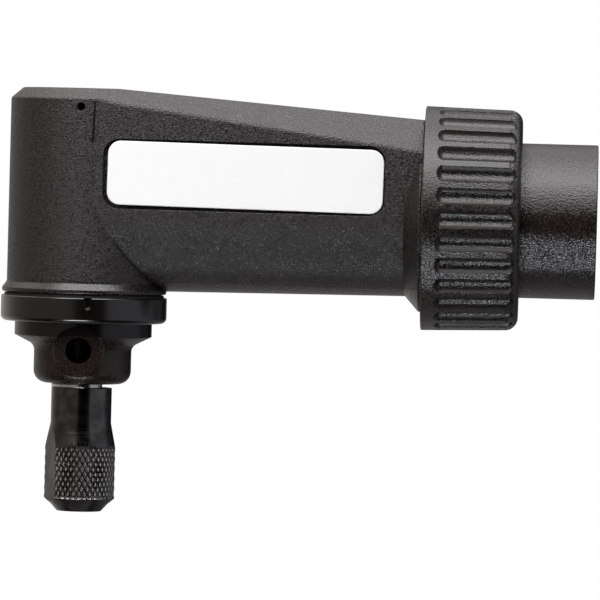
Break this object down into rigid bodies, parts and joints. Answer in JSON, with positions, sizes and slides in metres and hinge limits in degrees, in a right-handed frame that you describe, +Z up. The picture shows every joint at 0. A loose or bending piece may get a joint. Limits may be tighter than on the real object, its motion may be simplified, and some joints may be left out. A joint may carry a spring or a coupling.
{
  "type": "right angle attachment",
  "caption": "Right-angle head for a rotary tool: threaded sleeve, clamping ring, barrel and round head with a bevel pair driving a collet spindle.",
  "frame": {"origin": "centre of the threaded sleeve's mouth, where the rotary tool's nose screws in", "axes": "+X out of the mouth towards the tool, +Z up and away from the collet, -Z along the output spindle towards the collet"},
  "size_m": [0.0839, 0.0316, 0.0598],
  "materials": {
    "housing_plastic": "glass-filled black moulding, satin",
    "ring_plastic": "glass-filled black moulding, satin",
    "sleeve_plastic": "glass-filled black moulding, satin",
    "plate_white": "white enamelled plate, bare",
    "blackened_alloy": "black anodised, satin",
    "blackened_steel": "black oxide",
    "bright_steel": "ground",
    "bearing_steel": "ground",
    "gear_steel": "hardened",
    "bronze": "sintered",
    "cage_plastic": "moulded",
    "gasket_rubber": "black"
  },
  "bodies": {
    "tool_sleeve": {"tool_sleeve": "sleeve_plastic"},
    "head": {"housing": "housing_plastic", "name_plate": "plate_white", "bearing_cap": "blackened_alloy", "cap_gasket": "gasket_rubber", "rear_bush": "bronze", "bearing_spacer": "bright_steel", "bore_circlip": "blackened_steel", "upper_bush": "bronze", "lower_spacer": "bright_steel", "front_bearing_outer_ring": "bearing_steel", "front_bearing_shields": "bearing_steel", "lower_bearing_outer_ring": "bearing_steel", "lower_bearing_shields": "bearing_steel"},
    "thrust_washer": {"thrust_washer": "bright_steel"},
    "coupling_ring": {"coupling_ring": "ring_plastic"},
    "input_shaft": {"drive_shaft": "bright_steel", "drive_pinion": "gear_steel", "front_bearing_inner_ring": "bearing_steel", "shaft_circlip": "blackened_steel"},
    "front_balls": {"front_bearing_balls": "bearing_steel", "front_bearing_cage": "cage_plastic"},
    "output_spindle": {"output_spindle": "bright_steel", "output_gear": "gear_steel", "gear_pin": "bright_steel", "gear_washer": "bronze", "lower_bearing_inner_ring": "bearing_steel", "spindle_circlip": "blackened_steel", "retaining_clip": "bright_steel"},
    "lower_balls": {"lower_bearing_balls": "bearing_steel", "lower_bearing_cage": "cage_plastic"},
    "collet": {"collet": "bright_steel"},
    "collet_nut": {"collet_nut": "blackened_steel"}
  },
  "joints": [
    {"name": "head_index", "type": "hinge", "parent": "tool_sleeve", "child": "head", "pos_m": [0, 0, 0], "axis": [1, 0, 0], "continuous": true},
    {"name": "ring_advance", "type": "slide", "parent": "head", "child": "thrust_washer", "axis": [1, 0, 0], "range_m": [0, 0.0015]},
    {"name": "ring_turn", "type": "hinge", "parent": "thrust_washer", "child": "coupling_ring", "pos_m": [0, 0, 0], "axis": [1, 0, 0], "range_deg": [0, 360]},
    {"name": "drive_spin", "type": "hinge", "parent": "head", "child": "input_shaft", "pos_m": [0, 0, 0], "axis": [1, 0, 0], "continuous": true},
    {"name": "front_cage_spin", "type": "hinge", "parent": "head", "child": "front_balls", "pos_m": [0, 0, 0], "axis": [1, 0, 0], "continuous": true},
    {"name": "spindle_spin", "type": "hinge", "parent": "head", "child": "output_spindle", "pos_m": [-0.0722, 0, 0], "axis": [0, 0, 1], "continuous": true},
    {"name": "lower_cage_spin", "type": "hinge", "parent": "head", "child": "lower_balls", "pos_m": [-0.0722, 0, 0], "axis": [0, 0, 1], "continuous": true},
    {"name": "collet_travel", "type": "slide", "parent": "output_spindle", "child": "collet", "axis": [0, 0, -1], "range_m": [0, 0.00127]},
    {"name": "nut_turn", "type": "hinge", "parent": "collet", "child": "collet_nut", "pos_m": [-0.0722, 0, 0], "axis": [0, 0, -1], "range_deg": [0, 720]}
  ],
  "couplings": [
    {"joint": "ring_advance", "follows": "ring_turn", "m_per_rad": 0.00023873},
    {"joint": "spindle_spin", "follows": "drive_spin", "ratio": -1},
    {"joint": "front_cage_spin", "follows": "drive_spin", "ratio": 0.38582},
    {"joint": "lower_cage_spin", "follows": "drive_spin", "ratio": -0.39592},
    {"joint": "nut_turn", "follows": "collet_travel", "rad_per_m": 9894.8}
  ]
}
